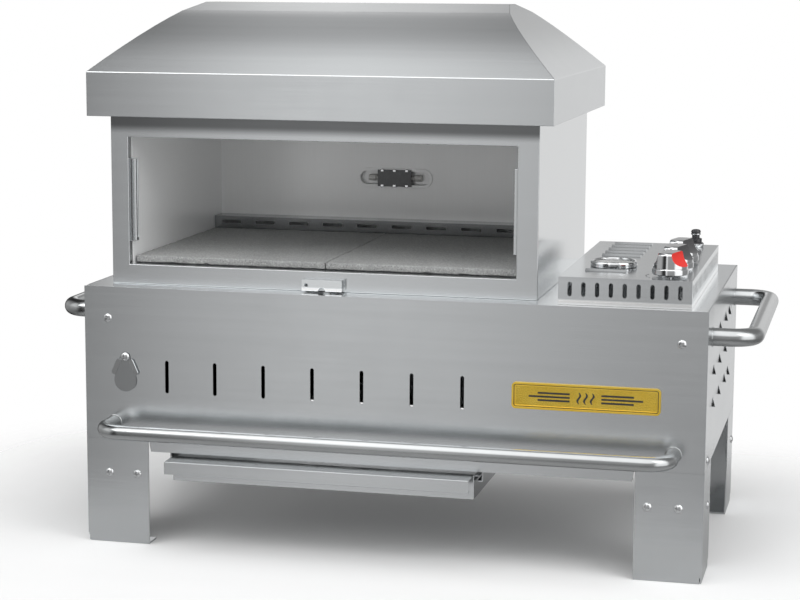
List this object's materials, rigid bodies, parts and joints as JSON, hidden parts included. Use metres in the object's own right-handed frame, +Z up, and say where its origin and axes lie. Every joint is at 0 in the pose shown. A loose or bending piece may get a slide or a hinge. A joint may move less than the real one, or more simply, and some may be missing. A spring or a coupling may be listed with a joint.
{
  "type": "gas pizza oven",
  "caption": "Table-top stainless gas pizza oven: stone-floored chamber under a hipped hood, slotted base on angle legs, side control box, tube rail and handles.",
  "frame": {"origin": "on the surface the feet stand on, under the middle of the whole outline", "axes": "+X to the oven's right (along its width), +Y to the back, +Z up; the oven mouth faces -Y"},
  "size_m": [1.231, 0.6816, 0.9314],
  "materials": {
    "brushed_steel": "satin",
    "polished_steel": "polished",
    "brass": "satin",
    "stone": "matte",
    "wool": "matte",
    "ceramic": "matte",
    "dark": "satin",
    "glass": "polished"
  },
  "bodies": {
    "oven": {"base_back_panel": "brushed_steel", "base_deck": "brushed_steel", "base_floor": "brushed_steel", "base_front_panel": "brushed_steel", "base_left_panel": "brushed_steel", "base_right_panel": "brushed_steel", "burner_front": "brushed_steel", "burner_middle": "brushed_steel", "burner_rear": "brushed_steel", "chamber_front_frame": "brushed_steel", "chamber_wrap": "polished_steel", "control_box": "brushed_steel", "door_catch": "brushed_steel", "door_guide_left": "brushed_steel", "door_guide_right": "brushed_steel", "front_rail": "polished_steel", "gas_manifold": "brass", "gas_valve_front": "brass", "gas_valve_middle": "brass", "gas_valve_rear": "brass", "gauge_case": "polished_steel", "gauge_dial": "ceramic", "gauge_glass": "glass", "handle_left": "polished_steel", "handle_right": "polished_steel", "hood": "brushed_steel", "hood_bracket": "brushed_steel", "igniter_body": "dark", "igniter_electrode": "ceramic", "insulation_blanket": "wool", "lamp_glass": "dark", "lamp_housing": "polished_steel", "lamp_tube": "ceramic", "leg_back_left": "brushed_steel", "leg_back_right": "brushed_steel", "leg_front_left": "brushed_steel", "leg_front_right": "brushed_steel", "name_plate": "brass", "oven_liner": "polished_steel", "panel_screw_left": "polished_steel", "panel_screw_right": "polished_steel", "port_cover_screw": "polished_steel", "rear_riser": "brushed_steel", "stone_rack": "brushed_steel", "tray_runner_left": "brushed_steel", "tray_runner_right": "brushed_steel"},
    "valve_push_front": {"valve_stem_front": "brushed_steel"},
    "knob_front": {"knob_front": "polished_steel"},
    "valve_push_middle": {"valve_stem_middle": "brushed_steel"},
    "knob_middle": {"knob_middle": "polished_steel"},
    "valve_push_rear": {"valve_stem_rear": "brushed_steel"},
    "knob_rear": {"knob_rear": "polished_steel"},
    "igniter_button": {"igniter_button": "polished_steel"},
    "gauge_needle": {"gauge_needle": "dark"},
    "lighting_port_cover": {"lighting_port_cover": "brushed_steel"},
    "drip_tray": {"drip_tray": "brushed_steel"},
    "stone_left": {"stone_left": "stone"},
    "stone_right": {"stone_right": "stone"}
  },
  "joints": [
    {"name": "valve_push_front", "type": "slide", "parent": "oven", "child": "valve_push_front", "axis": [0, 0, -1], "range_m": [0, 0.003], "stiffness_N_per_m": 600},
    {"name": "knob_turn_front", "type": "hinge", "parent": "valve_push_front", "child": "knob_front", "pos_m": [0.462, -0.18515, 0.5], "axis": [0, 0, 1], "range_deg": [0, 180]},
    {"name": "valve_push_middle", "type": "slide", "parent": "oven", "child": "valve_push_middle", "axis": [0, 0, -1], "range_m": [0, 0.003], "stiffness_N_per_m": 600},
    {"name": "knob_turn_middle", "type": "hinge", "parent": "valve_push_middle", "child": "knob_middle", "pos_m": [0.462, -0.09815, 0.5], "axis": [0, 0, 1], "range_deg": [0, 180]},
    {"name": "valve_push_rear", "type": "slide", "parent": "oven", "child": "valve_push_rear", "axis": [0, 0, -1], "range_m": [0, 0.003], "stiffness_N_per_m": 600},
    {"name": "knob_turn_rear", "type": "hinge", "parent": "valve_push_rear", "child": "knob_rear", "pos_m": [0.462, -0.01115, 0.5], "axis": [0, 0, 1], "range_deg": [0, 180]},
    {"name": "igniter_press", "type": "slide", "parent": "oven", "child": "igniter_button", "axis": [0, 0, -1], "range_m": [0, 0.006], "stiffness_N_per_m": 500},
    {"name": "gauge_needle_swing", "type": "hinge", "parent": "oven", "child": "gauge_needle", "pos_m": [0.357, -0.08815, 0.5], "axis": [0, 0, -1], "range_deg": [0, 270]},
    {"name": "port_cover_swing", "type": "hinge", "parent": "oven", "child": "lighting_port_cover", "pos_m": [-0.46, -0.25515, 0.33], "axis": [0, 1, 0], "range_deg": [-120, 120]},
    {"name": "drip_tray_slide", "type": "slide", "parent": "oven", "child": "drip_tray", "axis": [0, -1, 0], "range_m": [0, 0.46]},
    {"name": "stone_left_slide_out", "type": "slide", "parent": "oven", "child": "stone_left", "axis": [0, -1, 0], "range_m": [0, 0.56]},
    {"name": "stone_right_slide_out", "type": "slide", "parent": "oven", "child": "stone_right", "axis": [0, -1, 0], "range_m": [0, 0.56]}
  ]
}
